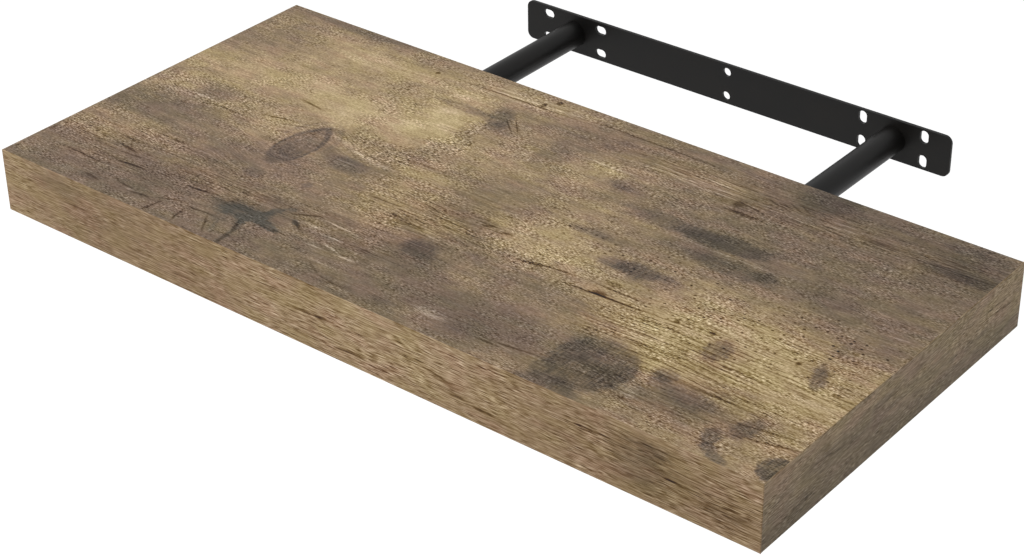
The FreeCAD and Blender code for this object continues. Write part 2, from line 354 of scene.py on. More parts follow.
@dataclass(frozen=True)
class WoodPrint:
    """A satin old-wood print: zones of gold and grey-brown, smoky marks, knots, cracks and fine grain."""

    name: str
    lay: Lay
    origin: tuple[float, float]
    tone: float
    seed: float
    stops: Stops
    zones: Marks = ()
    smudges: Marks = ()
    spots: Marks = ()
    lines: Marks = ()
    cracks: Marks = ()
    lights: Marks = ()
    pores: Marks = ()
    dashes: Marks = ()
    tar: Marks = ()
    bruises: Marks = ()
    knots: tuple[Knot, ...] = ()
    cloud_depth: float = 0.08
    mottle_depth: float = 0.14
    fibre_depth: float = 0.18
    fibre_size: tuple[float, float] = (17.0, 0.9)
    grit_depth: float = 0.86
    grit_size: tuple[float, float] = (1.9, 0.52)
    line_depth: float = 0.065
    line_gap: float = 1.2
    line_pitch: float = 2.5
    sway: float = 7.0
    dash_depth: float = 0.075
    crack_depth: float = 1.4
    contrast: float = 1.38
    tints: Stops = (
        (0.3, (0.98, 1.0, 0.9, 1.0)), (0.44, (1.0, 1.0, 0.95, 1.0)), (0.54, WHITE),
        (0.7, (1.03, 0.98, 1.01, 1.0)), (0.9, (1.03, 0.975, 1.06, 1.0)))
    tar_colour: Colour = tint(80, 75, 66)
    roughness: float = 0.55
    shine: float = 0.15
    relief: float = 0.00006

    def material(self) -> Material:
        """Wires the print.

        Returns:
            The finished material.
        """
        return PrintWiring(bpy.data.materials.new(self.name), self).wire()


class Pattern(Enum):
    """A print's flat noises: length and width of their lumps in millimetres, seed and finer layers."""

    SWAY = (110, 45, 2, 1)
    RIPPLE = (22, 9, 3, 1)
    UNREST = (4, 1.4, 5, 3)
    BROAD_FIBRE = (60, 4, 8, 2)
    STROKES = (6, 1, 11, 1)
    CLOUD = (60, 26, 17, 3)
    MOTTLE = (11, 5.5, 19, 3)
    TINTS = (26, 12, 23, 1)
    ROUGHNESS = (26, 12, 29, 2)
    HATCH = (1.2, 8, 37, 1)


class Push(Enum):
    """Noises that push a spot about: length and width of their lumps, reach both ways, finer layers."""

    COARSE = (45, 16, 22, 11, 2)
    FINE = (7, 3.2, 5, 2.6, 3)
    RAGGED = (4, 1.4, 16, 7, 3)
    FRAYED = (3.2, 1.8, 5, 3.6, 2)


class PrintWiring(Wiring):
    """The nodes of one wood print."""

    def __init__(self, material: Material, sheet: WoodPrint) -> None:
        """Finds the spot on the sheet, and the pushed spots at which its marks are read.

        Args:
            material: The material to wire.
            sheet: What is printed.
        """
        super().__init__(material)
        self.sheet = sheet
        self.along, self.across = self.sheet_axes()
        self.flat_spot = self.signal("ShaderNodeCombineXYZ", {}, {"X": self.along, "Y": self.across})
        coarse, fine, ragged, frayed = (self.pushed(push) for push in Push)
        slight_share = (0.35, 0.35, 0.0)
        self.warped = self.vector("ADD", self.vector("ADD", self.flat_spot, coarse), fine)
        self.eased = self.vector("MULTIPLY_ADD", fine, slight_share, self.flat_spot)
        self.torn = self.vector("ADD", self.warped, ragged)
        self.frayed = self.vector("ADD", self.eased, frayed)
        self.unrest = self.pattern(Pattern.UNREST) - 0.5

    def sheet_axes(self) -> tuple[Signal, Signal]:
        """Works out how far a spot lies along and across the grain, in millimetres from the sheet's corner.

        Returns:
            The two distances.
        """
        axes = self.node("ShaderNodeSeparateXYZ", {}, {"Vector": self.spot()}).outputs
        x, y, z = (Signal(self, socket) for socket in axes)
        start_along, start_across = self.sheet.origin
        if self.sheet.lay is Lay.FACE:
            return x - start_along, start_across - y
        if self.sheet.lay is Lay.FRONT:
            return x - start_along, start_across - z
        return start_along - y, start_across - z

    def pushed(self, push: Push) -> Signal:
        """Adds a noise that pushes a spot about.

        Args:
            push: Which one.

        Returns:
            The push as a vector.
        """
        length, width, reach_along, reach_across, detail = push.value
        source = self.noise(self.flat_spot, (length, width), self.sheet.seed, detail)
        colour = Signal(self, source.socket.node.outputs["Color"])
        reach = (reach_along, reach_across, 0.0)
        return self.vector("MULTIPLY_ADD", colour, reach, tuple(-far / 2 for far in reach))

    def pattern(self, pattern: Pattern, spot: Signal | None = None) -> Signal:
        """Adds one of the print's noises.

        Args:
            pattern: Which one.
            spot: Where it is read, or None for the flat sheet.

        Returns:
            The noise from 0 to 1.
        """
        length, width, seed, detail = pattern.value
        return self.noise(spot or self.flat_spot, (length, width), self.sheet.seed + seed, detail)

    def seen_from(self, mark: Mark, spot: Signal, grown: float = 1.0) -> Signal:
        """Measures a spot from the middle of a mark, along its own axes.

        Args:
            mark: The mark, which may be a knot.
            spot: The spot as a vector.
            grown: How many times its reach is taken.

        Returns:
            The spot as a vector, 1 long where the grown reach ends.
        """
        return self.signal("ShaderNodeMapping", {"vector_type": "TEXTURE"}, {
            "Vector": spot,
            "Location": (mark.along, mark.across, 0.0),
            "Rotation": (0.0, 0.0, math.radians(mark.turn)),
            "Scale": (mark.reach_along * grown, mark.reach_across * grown, 1.0),
        })

    def closeness(self, mark: Mark, spot: Signal) -> Signal:
        """Measures how near a spot is to a mark's middle.

        Args:
            mark: The mark.
            spot: The spot as a vector.

        Returns:
            1 at the middle, falling evenly to 0 where the mark's soft edge ends.
        """
        local = self.seen_from(mark, spot, 1.0 + mark.edge)
        return self.signal("ShaderNodeTexGradient", {"gradient_type": "SPHERICAL"}, {"Vector": local}, "Fac")

    def total(self, listed: Marks, spot: Signal) -> Number:
        """Adds up the marks of a list.

        Args:
            listed: The marks, each with its own strength.
            spot: The spot as a vector.

        Returns:
            The sum at the spot, 0 where no mark is.
        """
        result: Number = 0.0
        for mark in listed:
            inside = 2.0 * mark.edge / (1.0 + mark.edge)
            result = self.closeness(mark, spot).step(0.0, inside, mark.strength) + result
        return result

    def bent_across(self) -> Signal:
        """Bends the grain in long waves and lets it part round the knots.

        Returns:
            How far across the bent grain a spot lies.
        """
        ripple_mm, longer, wider, parting = 1.6, 2.4, 1.5, -0.55
        swaying = self.pattern(Pattern.SWAY) - 0.5
        rippling = self.pattern(Pattern.RIPPLE) - 0.5
        bent = self.across + swaying * self.sheet.sway + rippling * ripple_mm
        for knot in self.sheet.knots:
            reach = (knot.reach_along * longer, knot.reach_across * wider)
            near = self.closeness(Mark(knot.along, knot.across, *reach, 1.0, knot.turn), self.flat_spot)
            bent = (self.across - knot.across) * near.step(0.0, 0.9, parting) + bent
        return bent

    def knot_tone(self, knot: Knot) -> Signal:
        """Draws one knot: a darker leaf, its outline and its rings.

        Args:
            knot: The knot.

        Returns:
            How much darker the print is there.
        """
        outline_at, second_at, wander = 0.95, 1.22, 3.0
        local = self.seen_from(knot, self.eased)
        axes = self.node("ShaderNodeSeparateXYZ", {}, {"Vector": local}).outputs
        sideways, lengthways = Signal(self, axes[0]), Signal(self, axes[1])
        point = lengthways.step(0.3, -0.55, 1.2)
        leaf = self.signal("ShaderNodeCombineXYZ", {}, {
            "X": abs(sideways) + point,
            "Y": lengthways * (point * 0.7 + 1.0),
        })
        away = self.vector("LENGTH", leaf, output="Value") / (point + 1.0)
        body = away.step(1.15, 0.8) * (lengthways.step(-0.3, 0.5, 0.35) + 0.4)
        outline = abs(away - outline_at).step(0.1, 0.02, 0.8) * (self.unrest * 2.6 + 0.9)
        outline = outline * lengthways.step(0.95, 0.2)
        second = abs(away - second_at).step(0.09, 0.02, 0.25) * lengthways.step(0.7, -0.5)
        streaks = (away * (knot.rings * math.tau) + self.unrest * wander).wave().step(0.2, 1.0, 0.2)
        return (body + outline + second + streaks * away.step(0.95, 0.75)) * knot.strength

    def wire(self) -> Material:
        """Puts the print together: tone, colour, gloss and relief.

        Returns:
            The finished material.
        """
        sheet = self.sheet
        fibre_seed, grit_seed, streak_seed = (sheet.seed + shift for shift in (7.0, 13.0, 31.0))
        streak_length, most_rough, least_lines, ruling_bend = 42.0, 1.4, 0.3, 12.0
        bent = self.bent_across()
        grain_spot = self.signal("ShaderNodeCombineXYZ", {}, {"X": self.along, "Y": bent})
        fibre = self.noise(grain_spot, sheet.fibre_size, fibre_seed)
        streaks = self.noise(grain_spot, (streak_length, sheet.line_gap), streak_seed, detail=1.0)
        grit = self.noise(self.flat_spot, sheet.grit_size, grit_seed, detail=1.0)
        broad_fibre = self.pattern(Pattern.BROAD_FIBRE, grain_spot)
        strokes = self.pattern(Pattern.STROKES, grain_spot)
        hatch = self.pattern(Pattern.HATCH)
        mottle = self.pattern(Pattern.MOTTLE)
        rough = self.pattern(Pattern.ROUGHNESS).step(0.32, 0.68)
        rough = (rough + self.total(sheet.dashes, self.warped) * 0.6).at_least(0.0).at_most(most_rough)

        line_zone = self.total(sheet.lines, self.warped) + least_lines
        ruling = (bent * (math.tau / sheet.line_pitch) + broad_fibre * ruling_bend).wave()
        lines = (streaks.step(0.5, 0.61) + ruling.step(0.1, 0.95)) * line_zone
        lines = lines * (fibre + strokes).step(0.7, 1.02)
        dashes = strokes.step(0.57, 0.68) * (rough * 0.8 + 0.2)

        tone = self.total(sheet.zones, self.torn) + sheet.tone
        tone = tone + (self.pattern(Pattern.CLOUD) - 0.5) * sheet.cloud_depth
        tone = tone + (mottle - 0.5) * sheet.mottle_depth
        smoke = self.total(sheet.smudges, self.torn) * (0.8 + (mottle + fibre - 1.0) * 1.2)
        smoke = smoke + self.total(sheet.spots, self.frayed) * (1.0 + (hatch - 0.5) * 1.1)
        tone = tone - smoke
        for knot in sheet.knots:
            tone = tone - self.knot_tone(knot)
        vivid = tone.step(0.42, 0.6, 0.4) + 0.6
        tone = tone + (broad_fibre - 0.5) * sheet.fibre_depth * 0.35
        spread = self.total(sheet.tar, self.frayed) * (0.95 + (grit + strokes - 1.0) * 0.7)

        detail = (grit - 0.5) * (rough * 0.6 + 0.33) * sheet.grit_depth
        detail = (detail - lines * sheet.line_depth - dashes * sheet.dash_depth) * vivid
        detail = (detail + (fibre - 0.5) * sheet.fibre_depth) * (1.0 - spread * 0.2)
        detail = detail - self.total(sheet.cracks, self.eased) * sheet.crack_depth
        detail = detail + self.total(sheet.lights, self.eased) * (strokes + fibre).step(0.78, 1.02)
        if sheet.pores:
            detail = detail - self.pore_tone()

        colour = self.colour_by(tone, sheet.stops)
        tints = self.pattern(Pattern.TINTS) + self.total(sheet.bruises, self.torn)
        colour = self.vector("MULTIPLY", colour, self.colour_by(tints, sheet.tints))
        if sheet.tar:
            colour = self.blend(spread, colour, sheet.tar_colour)
        colour = self.printed_over(colour, detail)

        gloss = sheet.roughness + (fibre - 0.5) * 0.25 + dashes * 0.1
        height = fibre + dashes * (-0.5) - lines * 0.4
        return self.surface(colour, gloss, sheet.shine, height, sheet.relief)

    def printed_over(self, colour: Signal, detail: Signal) -> Signal:
        """Prints fine grain over a colour, as much in each channel as a screen shows it.

        Args:
            colour: The colour under the grain.
            detail: How much lighter the grain is, in steps of the print's tone.

        Returns:
            The colour with its grain.
        """
        shown = self.signal("ShaderNodeGamma", {}, {"Color": colour, "Gamma": 1.0 / SCREEN_GAMMA})
        grained = self.vector("MULTIPLY_ADD", detail, (self.sheet.contrast,) * 3, shown)
        kept = self.vector("MAXIMUM", grained, (DARKEST_SHOWN,) * 3)
        return self.signal("ShaderNodeGamma", {}, {"Color": kept, "Gamma": SCREEN_GAMMA})

    def pore_tone(self) -> Signal:
        """Scatters small dark pores where the sheet says.

        Returns:
            How much darker the print is there.
        """
        apart_along, apart_across = 7.5, 5.5
        scaled = self.vector("MULTIPLY", self.eased, (1 / apart_along, 1 / apart_across, 0.0))
        values = {"Vector": scaled, "Scale": 1.0}
        cells = self.node("ShaderNodeTexVoronoi", {"voronoi_dimensions": "2D"}, values)
        chance = self.node("ShaderNodeSeparateColor", {}, {"Color": Signal(self, cells.outputs["Color"])})
        kept = Signal(self, chance.outputs[0]).step(0.45, 0.5)
        dots = Signal(self, cells.outputs["Distance"]).step(0.14, 0.07)
        return dots * kept * self.total(self.sheet.pores, self.warped)


@dataclass(frozen=True)
class PowderCoat:
    """Black powder coat on steel: satin, with a very fine orange peel."""

    name: str = "black_powder_coat"
    peel_mm: Triple = (1.1, 1.1, 1.1)
    cloud_mm: Triple = (28, 28, 14)
    grit_mm: Triple = (0.35, 0.35, 0.35)
    roughness: float = 0.44
    shine: float = 0.17
    relief: float = 0.000018
    dark: Colour = tint(13, 12, 11)
    light: Colour = tint(20, 18, 16)

    def material(self) -> Material:
        """Wires the coat.

        Returns:
            The finished material.
        """
        wiring = Wiring(bpy.data.materials.new(self.name))
        spot = wiring.spot()
        peel = wiring.noise(spot, self.peel_mm, seed=3)
        cloud = wiring.noise(spot, self.cloud_mm, seed=9, detail=3)
        grit = wiring.noise(spot, self.grit_mm, seed=1, detail=1)
        share = cloud.step(0.35, 0.65) * 0.6 + grit.step(0.6, 0.8) * 0.4
        colour = wiring.blend(share, self.dark, self.light)
        gloss = self.roughness + (cloud - 0.5) * 0.16 + (peel - 0.5) * 0.12
        return wiring.surface(colour, gloss, self.shine, peel + grit * 0.4, self.relief)


@dataclass(frozen=True)
class MouldedPlastic:
    """Black plastic out of a mould, with a faint grain."""

    name: str = "black_plastic"
    grain_mm: Triple = (0.5, 0.5, 0.5)
    scuff_mm: Triple = (6, 1.2, 6)
    roughness: float = 0.5
    shine: float = 0.4
    relief: float = 0.00002

    def material(self) -> Material:
        """Wires the plastic.

        Returns:
            The finished material.
        """
        wiring = Wiring(bpy.data.materials.new(self.name))
        spot = wiring.spot()
        grain = wiring.noise(spot, self.grain_mm, seed=2)
        scuffs = wiring.noise(spot, self.scuff_mm, seed=4, detail=3)
        colour = wiring.blend(scuffs.step(0.55, 0.75), tint(24, 24, 25), tint(46, 46, 47))
        gloss = self.roughness + (scuffs - 0.5) * 0.3
        return wiring.surface(colour, gloss, self.shine, grain, self.relief)


@dataclass(frozen=True)
class FibreBoard:
    """Raw edge of medium-density fibre board."""

    name: str = "mdf"
    fibre_mm: Triple = (1.6, 1.6, 0.35)
    dust_mm: Triple = (0.4, 0.4, 0.3)
    cloud_mm: Triple = (30, 30, 3)
    roughness: float = 0.85
    shine: float = 0.2
    relief: float = 0.00008

    def material(self) -> Material:
        """Wires the fibre board.

        Returns:
            The finished material.
        """
        wiring = Wiring(bpy.data.materials.new(self.name))
        spot = wiring.spot()
        fibres = wiring.noise(spot, self.fibre_mm, seed=5, detail=3)
        dust = wiring.noise(spot, self.dust_mm, seed=8, detail=1)
        cloud = wiring.noise(spot, self.cloud_mm, seed=6)
        level = fibres * 0.7 + dust * 0.3 + (cloud - 0.5) * 0.5
        colour = wiring.colour_by(level, (
            (0.3, tint(128, 100, 70)), (0.5, tint(168, 138, 102)), (0.72, tint(196, 168, 130))))
        gloss = self.roughness + (fibres - 0.5) * 0.2
        return wiring.surface(colour, gloss, self.shine, fibres + dust * 0.5, self.relief)


@dataclass(frozen=True)
class ChipBoard:
    """Raw chipboard: pale flakes of many tones pressed together, with dark gaps."""

    name: str = "chipboard"
    flake_mm: Triple = (2.7, 2.7, 1.1)
    fibre_mm: Triple = (3, 3, 0.4)
    roughness: float = 0.85
    shine: float = 0.2
    relief: float = 0.0002

    def material(self) -> Material:
        """Wires the chipboard.

        Returns:
            The finished material.
        """
        wiring = Wiring(bpy.data.materials.new(self.name))
        spot = wiring.spot()
        values = {"Vector": wiring.vector("DIVIDE", spot, self.flake_mm), "Scale": 1.0}
        chips = wiring.signal("ShaderNodeTexVoronoi", {}, values, "Color")
        pick = wiring.node("ShaderNodeSeparateColor", {}, {"Color": chips})
        flake = Signal(wiring, pick.outputs[0])
        edges = wiring.signal("ShaderNodeTexVoronoi", {"feature": "DISTANCE_TO_EDGE"}, values, "Distance")
        fibres = wiring.noise(spot, self.fibre_mm, seed=5, detail=3)
        gap = edges.step(0.09, 0.01)
        colour = wiring.colour_by(flake * 0.5 + fibres * 0.5 - gap * 0.3, (
            (0.05, tint(104, 82, 58)), (0.35, tint(158, 131, 97)), (0.6, tint(188, 161, 123)),
            (0.9, tint(208, 185, 148))))
        height = flake * 0.4 + fibres * 0.5 - gap
        gloss = self.roughness + (fibres - 0.5) * 0.2
        return wiring.surface(colour, gloss, self.shine, height, self.relief)


@dataclass(frozen=True)
class KraftPaper:
    """Brown paper of the honeycomb."""

    name: str = "honeycomb_paper"
    fibre_mm: Triple = (2.5, 2.5, 0.8)
    cloud_mm: Triple = (18, 18, 9)
    roughness: float = 0.88
    shine: float = 0.15
    relief: float = 0.00005

    def material(self) -> Material:
        """Wires the paper.

        Returns:
            The finished material.
        """
        wiring = Wiring(bpy.data.materials.new(self.name))
        spot = wiring.spot()
        fibres = wiring.noise(spot, self.fibre_mm, seed=5, detail=3)
        cloud = wiring.noise(spot, self.cloud_mm, seed=7)
        level = fibres * 0.6 + cloud * 0.4
        colour = wiring.colour_by(level, ((0.35, tint(142, 108, 72)), (0.65, tint(184, 148, 106))))
        gloss = self.roughness + (fibres - 0.5) * 0.15
        return wiring.surface(colour, gloss, self.shine, fibres, self.relief)


def dress(finish: Material, slot: str, *nodes: str) -> None:
    """Gives CAD nodes their finish.

    Args:
        finish: The material for all of them.
        slot: The record's material slot; not used.
        nodes: The nodes' names.
    """
    for node in nodes:
        piece = bpy.data.objects[node]
        for place in piece.material_slots:
            place.material = finish
        LOG.info("dressed %s in %s", node, finish.name)


@dataclass
class Bracket:
    """The wall plate with its two rods, their welds and their caps."""

    coat: PowderCoat = PowderCoat()
    plastic: MouldedPlastic = MouldedPlastic()
    coated: tuple[str, ...] = ("wall_plate", "left_rod", "right_rod", "rod_welds")
    capped: tuple[str, ...] = ("left_rod_cap", "right_rod_cap")

    def build(self) -> None:
        """Dresses every node of the bracket."""
        dress(self.coat.material(), "black_powder_coat", *self.coated)
        dress(self.plastic.material(), "black_plastic", *self.capped)


FACE_STOPS = (
    (0.16, tint(52, 43, 34)), (0.34, tint(93, 81, 68)), (0.44, tint(122, 105, 86)),
    (0.52, tint(146, 125, 99)), (0.62, tint(177, 154, 118)), (0.76, tint(215, 193, 155)),
)

END_STOPS = (
    (0.34, tint(90, 78, 59)), (0.44, tint(121, 105, 84)), (0.52, tint(145, 125, 98)),
)

FRONT_STOPS = (
    (0.22, tint(76, 63, 46)), (0.38, tint(118, 99, 75)), (0.47, tint(143, 120, 93)),
    (0.56, tint(165, 142, 112)), (0.70, tint(192, 171, 140)),
)

TOP_ZONES = marks(
    (92, 58, 98, 52, 8.5), (166, 64, 24, 34, 10), (95, 28, 48, 11, 5), (122, 82, 30, 15, 6),
    (28, 82, 45, 20, 5), (20, 174, 45, 13, 5), (205, 130, 20, 32, 7), (272, 56, 18, 22, 8),
    (298, 130, 38, 16, 11), (425, 148, 88, 36, 11), (485, 196, 36, 34, 7), (228, 75, 34, 20, 6),
    (205, 10, 58, 11, 5), (440, 228, 60, 12, 4), (398, 184, 20, 11, 5), (305, 92, 42, 10, 5),
    (15, 40, 38, 22, -8.5), (20, 145, 48, 15, -7.5), (105, 215, 150, 36, -5.5), (105, 158, 32, 15, -3),
    (250, 35, 26, 22, -4), (256, 112, 24, 40, -2.5), (440, 45, 112, 58, -6.5), (235, 208, 85, 28, -4),
    (275, 165, 18, 30, -3), (12, 118, 16, 12, 5), (10, 28, 9, 14, 6), (95, 31, 14, 8, 3.5),
    (168, 29, 20, 7, 6), (93, 68, 12, 8, 4.5), (128, 88, 12, 12, 6), (168, 115, 30, 7, 6),
    (98, 128, 13, 14, 5), (218, 165, 14, 14, 5.5), (244, 152, 14, 10, 5.5), (296, 108, 12, 8, 5.5),
    (335, 27, 14, 8, 5), (306, 44, 12, 12, 3.5), (290, 188, 10, 10, 5), (407, 194, 5, 15, 9),
    (405, 150, 22, 12, 4.2), (440, 137, 24, 8, 3.5), (425, 185, 12, 10, 4.5), (489, 211, 9, 8, 3),
    (20, 188, 22, 8, 4), (296, 224, 10, 8, 4.5), (135, 190, 18, 8, 3), (192, 84, 10, 6, 5),
    (50, 69, 10, 7, -3), (128, 108, 9, 6, -3), (188, 43, 14, 8, -4), (335, 168, 26, 9, -5),
    (330, 205, 18, 10, -3), (445, 96, 20, 9, -4.5), (368, 122, 10, 9, -4.5), (490, 116, 12, 10, -6),
    (484, 18, 20, 16, -6), (150, 52, 9, 18, -4), (245, 58, 9, 14, -3), (228, 48, 9, 12, 3.5),
    (310, 28, 12, 8, 4), (410, 28, 10, 7, 3), (132, 9, 22, 8, -2.5), (320, 7, 18, 7, -3),
    (440, 7, 80, 8, -2.5), (20, 68, 20, 7, -3), (188, 68, 6, 14, -3), (9, 92, 9, 8, 3), (28, 108, 12, 7, 4),
    (9, 128, 9, 8, 3), (470, 90, 9, 7, 2.5), (462, 111, 20, 8, -3.5), (345, 132, 38, 7, -4),
    (390, 132, 10, 9, -3.5), (285, 150, 28, 8, 4), (390, 171, 9, 7, 5), (490, 171, 9, 7, 3.5),
    (188, 198, 8, 15, 3.5), (350, 190, 8, 6, 3), (100, 188, 20, 7, 2.5), (414, 215, 8, 7, -5),
    (395, 229, 26, 6, -3), (20, 229, 20, 5, -3), (270, 229, 12, 5, -2.5), (466, 198, 20, 14, -3),
    (340, 5, 170, 9, -1.8), (60, 232, 90, 7, -2.5), (268, 231, 34, 7, -3), (368, 230, 14, 7, -3),
    (428, 190, 14, 9, 3.5), (430, 92, 50, 12, -1.2), (148, 72, 9, 9, -2), (12, 175, 16, 20, -2),
    (105, 155, 14, 10, -2), (318, 172, 22, 9, -2), (440, 164, 62, 24, 2.8), (430, 170, 16, 9, 2.5),
    (492, 160, 14, 32, 2), (446, 205, 12, 9, 2), (232, 142, 14, 14, 2.5), (85, 122, 40, 16, 1.5),
    (225, 88, 18, 20, 1.5), (362, 88, 14, 8, -2.5), (258, 206, 14, 10, -2), (350, 212, 10, 10, -2),
    (352, 24, 14, 9, 2), (490, 38, 14, 20, -2), (50, 45, 16, 12, 1.5), (172, 60, 14, 14, 2),
    (478, 218, 9, 8, -2), (130, 55, 14, 14, -1.2), (210, 211, 34, 11, 3), (148, 152, 14, 14, -3),
    (395, 150, 16, 8, -2), (222, 180, 34, 40, 1.2), (374, 172, 20, 10, 2), (486, 120, 20, 80, -0.9),
)

TOP_SMUDGES = marks(
    (46, 112, 13, 8, 9), (165, 131, 22, 7, 6, 0, 0.6), (390, 8, 22, 14, 4), (250, 185, 16, 12, 5),
    (312, 206, 32, 20, 7), (318, 222, 16, 14, 5), (350, 204, 18, 16, 4), (430, 204, 34, 12, 5, 8, 0.6),
    (470, 124, 6, 9, 9, 0, 0.6), (85, 202, 16, 9, 5, 0, 0.8), (92, 222, 16, 4, 8), (62, 224, 10, 4, 7),
    (140, 85, 10, 7, 5), (105, 61, 6, 6, 5), (60, 3, 45, 4, 14, 0, 0.6), (192, 78, 4, 30, 6, 8, 0.9),
    (350, 92, 24, 8, 4, 0, 0.8), (230, 162, 9, 7, 5), edge=0.7
)

TOP_SPOTS = marks(
    (384, 205.5, 22, 22.5, 12, 0, 0.14), (378, 234, 16.5, 10, 10.5, 0, 0.3), (367, 221, 6, 7, 9, 0, 0.35),
    (396, 212, 8, 12, 3), (374, 198, 11, 13, 5, 0, 0.6), (417, 192, 6.5, 6, 13), (436, 201.5, 14, 8, 8, 8),
    (424, 160, 7, 10.5, 15.5, 0, 0.3), (426, 176, 6, 8, 5, 0, 0.7), (444, 212, 7, 8, 3, 0, 0.7),
    (449, 200, 9, 5, 3, 0, 0.7), (474.5, 151, 4, 11, 16.5, -22), (470.5, 205, 6, 9.5, 11.8, 20, 0.3),
    (461, 219, 4.5, 6.5, 14, -15), (469, 229.5, 11, 3.4, 15, 30), (500, 223, 10.5, 9.5, 21.5, 0, 0.15),
    (371, 76, 28, 7.2, 13, -3, 0.3), (366, 77, 14, 4.5, 4, 0, 0.5), (336, 76, 26, 6.8, 8, 2),
    (386, 95, 24, 6.2, 8.5, 3), (406, 91, 7, 4.5, 9, 0, 0.5), (351, 125, 12, 7.2, 15),
    (337, 126.5, 8, 4.5, 9, 0, 0.5), (369, 124, 10, 3.5, 9, 0, 0.5), (295, 60, 8, 4.5, 7, 0, 0.5),
    (286, 62, 12, 5, 4, 0, 0.6), (486, 32, 24, 4.5, 9, 0, 0.5), (390, 9, 14, 13, 7, 0, 0.5),
    (312, 109, 18, 2.8, 7, 0, 0.5), (195, 40, 7, 14, 10, -18), (206, 50, 10, 6, 5, 30, 0.7),
    (170, 42, 18, 4, 11), (251, 175, 10, 8, 12), (263, 182, 8, 6, 5, 0, 0.6), (162, 132, 12, 6.5, 8.5),
    (129, 169, 7, 4, 8, 0, 0.5), (161, 161, 2.6, 3, 10, 0, 0.5), edge=0.4
)

TOP_LINES = marks(
    (385, 28, 110, 14, 120), (460, 26, 50, 14, 60), (450, 162, 70, 38, 120), (60, 190, 70, 22, 100),
    (140, 190, 36, 14, 90), (240, 152, 42, 20, 90), (215, 188, 42, 14, 80), (430, 215, 62, 14, 80),
    (180, 106, 24, 10, 100), (395, 172, 40, 18, 100), (225, 140, 40, 24, 80),
)

TOP_CRACKS = marks(
    (304, 151.5, 8, 0.9, 16, -10), (318, 148.5, 12, 0.6, 13, -6), (355, 154.6, 23, 0.7, 19, -3),
    (349, 154, 5, 1.6, 8, 0, 0.5), (357, 147, 13, 0.6, 13), (350, 142.5, 5, 2.2, 7, 0, 0.5),
    (349, 153, 4, 2.0, 7, 0, 0.5), (354, 39, 3.0, 3.2, 8), (362, 46.4, 10, 1.4, 11),
    (204, 13, 1.7, 2.2, 17, 0, 0.5), (210, 5.5, 1.7, 2.0, 15, 0, 0.5), (188, 16.2, 34, 0.6, 13, -1),
    (380, 24, 6, 0.6, 5, 26), (385, 22.5, 5, 0.6, 5, 30), (376, 25.5, 5, 0.6, 5, 20),
    (372, 27, 8, 0.6, 8, 14), (362, 38, 9, 0.6, 9, 12), (275, 11.5, 45, 0.6, 9, 1),
    (130, 18, 1.4, 1.6, 13, 0, 0.5), (119, 200.3, 8, 0.7, 14, -7), (54, 191, 7, 0.8, 12, 6),
    (68, 203.5, 9, 0.7, 12, -5), (40, 211, 14, 0.6, 12, 2), (66, 168.6, 9, 0.6, 10), (49, 183, 6, 0.5, 10),
    (97, 223, 7, 0.8, 8, -8), (84, 221, 6, 0.7, 8, 6), (62, 225, 6, 0.8, 7, 10), (161, 216, 1.2, 6, 6, -25),
    (164, 228, 1.0, 7, 5, -5), (114, 217, 8, 0.6, 9, -22), (110, 228, 0.8, 7, 8, 10),
    (146, 224, 0.8, 8, 6, -35), (128, 226, 0.7, 6, 9, -12), (134, 216, 10, 0.5, 8, -3),
    (222, 222, 7, 0.6, 5, 28), (238, 226.5, 9, 0.6, 6, 4), (265, 136, 3, 1.2, 10, -30),
    (277, 136.5, 2.5, 1.2, 11, -20), (183, 185, 7, 0.8, 11, -24), (186, 196, 5, 1.1, 8, 28),
    (178, 207.5, 9, 0.9, 4, -3), (100, 92, 9, 0.9, 11, 8), (95, 115, 9, 0.7, 12, -14),
    (63, 125, 14, 0.6, 10), (460, 146, 1.6, 1.6, 15, 0, 0.5), (414, 149.5, 1.6, 1.6, 15, 0, 0.5),
    (394, 151, 1.4, 1.4, 14, 0, 0.5), (486, 208, 16, 0.8, 9, -14), (480, 201, 20, 0.7, 7, -10),
    (348, 217, 11, 0.7, 8, -7), (333, 221, 6, 0.6, 7), (440, 192.5, 30, 0.7, 8), (208, 42, 8, 0.5, 11, 48),
    (205, 45, 9, 0.5, 9, 42), (170, 118, 20, 0.5, 8, 4),
)

TOP_LIGHTS = marks(
    (200, 13.6, 40, 0.9, 13, -4), (190, 18.6, 34, 0.6, 10, -2), (196, 9.6, 30, 0.7, 10, -5),
    (276, 47, 20, 0.9, 15), (205, 184, 12, 0.6, 15, 4), (207, 194.5, 8, 0.5, 18),
    (216, 202.5, 7, 0.6, 22, 14), (204, 206, 8, 0.6, 15), (228, 205.5, 6, 0.6, 15, -3),
    (222, 216, 9, 0.5, 12), (192, 191.8, 6, 0.7, 16), (43, 122, 10, 0.9, 18), (28, 125, 14, 1.0, 10),
    (150, 116, 18, 1.6, 8, 14), (172, 121, 14, 1.6, 8, 4), (378, 85.6, 30, 0.7, 8),
    (315, 33.5, 26, 0.7, 18, -2), (322, 30.5, 24, 0.6, 14, 1), (336, 27, 14, 0.6, 13, 3),
    (335, 36, 22, 0.6, 12), (338, 23.5, 11, 0.6, 9, 6), (410, 24, 9, 0.8, 12, -8), (412, 28, 9, 0.8, 12, -5),
    (295, 218, 10, 3.0, 10), (163, 130.4, 10, 0.8, 8), (160, 133.4, 8, 0.8, 8), (246, 161, 8, 2.0, 9, 30),
    (370, 33.5, 45, 0.6, 7, 2), (472, 9.2, 5, 0.9, 9), (488, 99, 5, 1.2, 8), (410, 212, 6, 4.0, 9, 30),
    (88, 222.5, 4, 0.6, 10),
)

TOP_PORES = marks(
    (425, 136, 70, 32, 22), (330, 114, 60, 12, 18), (480, 118, 30, 18, 10), (150, 85, 26, 12, 12),
)

